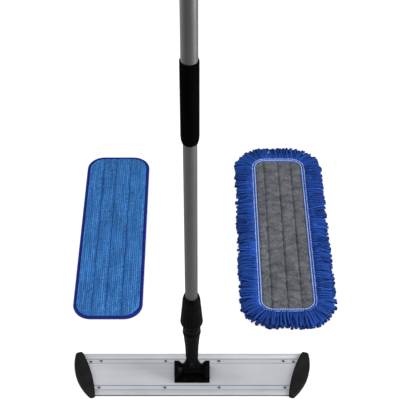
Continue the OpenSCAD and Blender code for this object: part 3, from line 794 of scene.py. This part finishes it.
class MOP_OT_dust_pad(bpy.types.Operator):
    """Model the dust pad: quilted panel, tape, two rows of stitches and four layers of yarn loops"""

    bl_idname = "mop.dust_pad"
    bl_label = "Dust Pad"

    def execute(self, context):
        look = context.scene.mop_dust_pad
        self.centre = pad_centre("dust_pad_panel")
        self.chance = random.Random(PAD_SEED)
        low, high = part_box("dust_pad_panel")
        self.panel = (high.y - low.y, high.x - low.x, PANEL_CORNER)
        low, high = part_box("dust_pad_band")
        self.tape = (high.y - low.y, high.x - low.x, TAPE_CORNER)
        self.add_panel(look)
        self.add_tape(look)
        self.add_stitches(look)
        self.add_fringe(look)
        self.add_underside(look)
        return {"FINISHED"}

    def add_panel(self, look):
        length, width, corner = self.panel
        _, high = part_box("dust_pad_panel")
        low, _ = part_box("dust_pad_core")
        top = high.z - look.puff * 0.4
        seams = [round(width * share / PANEL_CELL) * PANEL_CELL for share in PANEL_SEAMS]
        shape = rounded_slab(length, width, corner, low.z, top, PANEL_CELL)

        def sewn(co):
            on_seam = any(abs(co.x - x) < NEAR for x in seams)
            return co.z < top - NEAR or on_seam or edge_distance(co, length, width, corner) < 10 * NEAR

        swell(shape, "dust_pad_swell", sewn, look.puff)
        top_edges = {e for f in top_faces(shape) for e in f.edges}
        bmesh.ops.subdivide_edges(shape, edges=list(top_edges), cuts=2, use_grid_fill=True)
        tones = shape.verts.layers.float.new("tone")
        for vertex in shape.verts:
            vertex[tones] = 1.0
            if vertex.normal.z < 0.3:
                continue
            near = min(abs(vertex.co.x - x) for x in seams)
            pull = math.exp(-(near / 0.0016) ** 2) * min(1, 0.55 + abs(noise.noise(vertex.co * 45)) * 1.6)
            wrinkle = noise.noise(vertex.co * 70) * 0.0005 + noise.noise(vertex.co * 240) * 0.00025
            vertex.co.z += wrinkle - 0.0009 * pull
            # Painted shade in the crease along each seam.
            vertex[tones] = 1 - 0.7 * pull
        bmesh.ops.translate(shape, vec=self.centre, verts=shape.verts)
        cloth = melange_cloth("grey_melange", look.panel_dark, look.panel_light, seam_shade=0.6)
        piece = finish_piece(shape, "dust_pad_quilted_panel", cloth, "dust_pad")
        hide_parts("dust_pad_panel", "dust_pad_core")

    def add_tape(self, look):
        length, width, corner = self.tape
        low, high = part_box("dust_pad_band")
        _, inner_width, _ = self.panel
        half = (width - inner_width) / 4
        middle = (low.z + high.z) / 2
        walk = rounded_walk(length - 2 * half, width - 2 * half, corner - half, 300)
        shape = bmesh.new()
        ring = sweep_round(shape, walk, half + 0.0006, (high.z - low.z) / 2 + 0.0006, middle, 14)
        bmesh.ops.translate(shape, vec=self.centre, verts=ring)
        cloth = woven_cloth("blue_tape", look.tape_colour, thread=300.0)
        piece = finish_piece(shape, "dust_pad_tape", cloth, "dust_pad")
        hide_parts("dust_pad_band")

    def add_stitches(self, look):
        _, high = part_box("dust_pad_band")
        length, width, corner = self.panel
        shape = bmesh.new()
        for outset in STITCH_ROWS:
            corner_here = corner + outset
            round_trip = 2 * (length + width) - 8 * corner + 2 * math.pi * corner_here
            count = int(round_trip / look.stitch)
            for point, out in rounded_walk(length + 2 * outset, width + 2 * outset, corner_here, count):
                bead = bmesh.ops.create_icosphere(shape, subdivisions=1, radius=1)["verts"]
                bmesh.ops.scale(shape, vec=(0.0014, look.stitch * 0.53, 0.001), verts=bead)
                lean = self.chance.uniform(-0.12, 0.12)
                turn = Matrix.Rotation(math.atan2(out.y, out.x) + lean, 3, "Z")
                bmesh.ops.rotate(shape, matrix=turn, verts=bead)
                bmesh.ops.translate(shape, vec=self.centre + point + UP * (high.z + 0.0008), verts=bead)
        cloth = woven_cloth("stitch_thread", look.stitch_colour, thread=500.0)
        finish_piece(shape, "dust_pad_stitches", cloth, "dust_pad")

    def add_fringe(self, look):
        _, width, _ = self.tape
        low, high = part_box("dust_pad_fringe")
        reach = (high.x - low.x - width) / 2
        yarn = pile_cloth("blue_yarn", look.yarn_dark, look.yarn_light,
                          streak=(500.0, 500.0, 500.0), worn=0.3)
        finger = self.finger_template()
        for name, share, thick, start, hump, end, tone in FRINGE_LAYERS:
            piece = self.add_layer(look, finger, f"dust_pad_fringe_{name}", yarn, reach * share,
                                   thick, start, hump, end, tone)
            if name == "upper":
                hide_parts("dust_pad_fringe")
        bpy.data.meshes.remove(finger)

    def finger_template(self):
        """A blunt rod of two-ply yarn along X, of unit length and radius."""
        shape = bmesh.new()
        bmesh.ops.create_uvsphere(shape, u_segments=7, v_segments=8, radius=1)
        for vertex in shape.verts:
            ring = round(math.acos(max(-1, min(1, -vertex.co.z))) / math.pi * 8)
            turn = math.atan2(vertex.co.y, vertex.co.x)
            along, girth = FINGER_RINGS[ring]
            girth *= 0.87 + 0.13 * math.cos(2 * turn + ring)
            vertex.co = (along, girth * math.cos(turn), girth * math.sin(turn))
        bmesh.ops.recalc_face_normals(shape, faces=shape.faces)
        mesh = bpy.data.meshes.new("finger")
        shape.to_mesh(mesh)
        shape.free()
        return mesh

    def add_layer(self, look, finger, name, yarn, reach, thickness, start, hump, end, tone):
        """One layer of yarn loops round the tape, evenly spaced at their tips."""
        length, width, corner = self.tape
        inset = min(0.004, reach * 0.1)
        shape = bmesh.new()
        tones = shape.verts.layers.float.new("tone")
        tips = (length + 2 * reach, width + 2 * reach, corner + reach)
        outer = rounded_walk(*tips, 2000)
        trip = sum((b[0] - a[0]).length for a, b in zip(outer, outer[1:] + outer[:1]))
        count = int(trip / look.finger_gap)
        phase = self.chance.random()
        for i, (tip, out) in enumerate(rounded_walk(*tips, count)):
            side = Vector((-out.y, out.x, 0))
            size = (reach + inset) * self.chance.uniform(0.86, 1.04)
            root = tip - out * (reach + inset)
            sway = noise.noise(Vector((i * 0.11, phase * 40, 0))) * 0.45
            bend = reach * (sway + self.chance.uniform(-0.12, 0.12))
            thick = look.finger_radius * thickness * self.chance.uniform(0.85, 1.15)
            roll = self.chance.uniform(0, math.pi)
            lift = self.chance.uniform(-0.0006, 0.001)
            # The layer's painted shade, times a random share for each loop.
            shade = tone * self.chance.uniform(0.4, 1.15)
            before = len(shape.verts)
            shape.from_mesh(finger)
            shape.verts.ensure_lookup_table()
            for vertex in shape.verts[before:]:
                along, across, high = vertex.co
                turned = across * math.cos(roll) - high * math.sin(roll)
                risen = across * math.sin(roll) + high * math.cos(roll)
                height = start + (end - start) * along + hump * math.sin(math.pi * along) + lift
                height = max(height + risen * thick, 0.0004 + 0.3 * thick * (risen + 1))
                wave = 0.05 * math.sin(7 * along + 6 * phase + i)
                place = root + out * (along * size) + side * (bend * along ** 1.5 + (turned + wave) * thick)
                vertex.co = self.centre + place + UP * height
                # Tone: painted light on the top of each loop and painted shade on its underside, with a
                # painted highlight towards the root.
                top = max(0, 0.5 + 0.5 * risen)
                vertex[tones] = max(0, min(1, shade * (0.05 + 0.95 * top ** 1.5) * (1.12 - 0.25 * along)))
        return finish_piece(shape, name, yarn, "dust_pad")

    def add_underside(self, look):
        length, width, corner = self.tape
        low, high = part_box("dust_pad_yarn")
        shape = rounded_slab(length, width, corner, low.z + 0.0014, high.z, 0.005)
        tones = shape.verts.layers.float.new("tone")
        for vertex in shape.verts:
            knob = abs(noise.noise(vertex.co * 160))
            vertex[tones] = min(1, 0.25 + 1.6 * knob)
            if vertex.normal.z < -0.5:
                vertex.co.z = max(low.z + 0.0002, vertex.co.z - 0.0024 * knob)
        bmesh.ops.translate(shape, vec=self.centre, verts=shape.verts)
        cloth = pile_cloth("yarn_underside", look.yarn_dark, look.yarn_light,
                           streak=(400.0, 400.0, 400.0))
        piece = finish_piece(shape, "dust_pad_yarn_underside", cloth, "dust_pad")
        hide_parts("dust_pad_yarn")


# ---- panel and registration ----

OPERATORS = (MOP_OT_stage, MOP_OT_frame, MOP_OT_swivel, MOP_OT_handle, MOP_OT_wet_pad, MOP_OT_dust_pad)
SETTINGS = {
    "mop_stage": MopStageSettings,
    "mop_frame": MopFrameSettings,
    "mop_wet_pad": MopWetPadSettings,
    "mop_dust_pad": MopDustPadSettings,
}


class MOP_PT_panel(bpy.types.Panel):
    """Lists the pieces of the mop in the order in which they are made"""

    bl_idname = "MOP_PT_panel"
    bl_label = "Flat Mop"
    bl_space_type = "VIEW_3D"
    bl_region_type = "UI"
    bl_category = "Flat Mop"

    def draw(self, context):
        for operator in OPERATORS:
            self.layout.operator(operator.bl_idname)
        for group, settings in SETTINGS.items():
            box = self.layout.box()
            for name in settings.__annotations__:
                box.prop(getattr(context.scene, group), name)


def register():
    for settings in SETTINGS.values():
        bpy.utils.register_class(settings)
    for group, settings in SETTINGS.items():
        setattr(bpy.types.Scene, group, bpy.props.PointerProperty(type=settings))
    for operator in OPERATORS:
        bpy.utils.register_class(operator)
    bpy.utils.register_class(MOP_PT_panel)


def unregister():
    bpy.utils.unregister_class(MOP_PT_panel)
    for operator in reversed(OPERATORS):
        bpy.utils.unregister_class(operator)
    for group in SETTINGS:
        delattr(bpy.types.Scene, group)
    for settings in SETTINGS.values():
        bpy.utils.unregister_class(settings)


def main():
    register()
    bpy.ops.mop.stage()
    bpy.ops.mop.frame()
    bpy.ops.mop.swivel()
    bpy.ops.mop.handle()
    bpy.ops.mop.wet_pad()
    bpy.ops.mop.dust_pad()


if __name__ == "__main__":
    main()
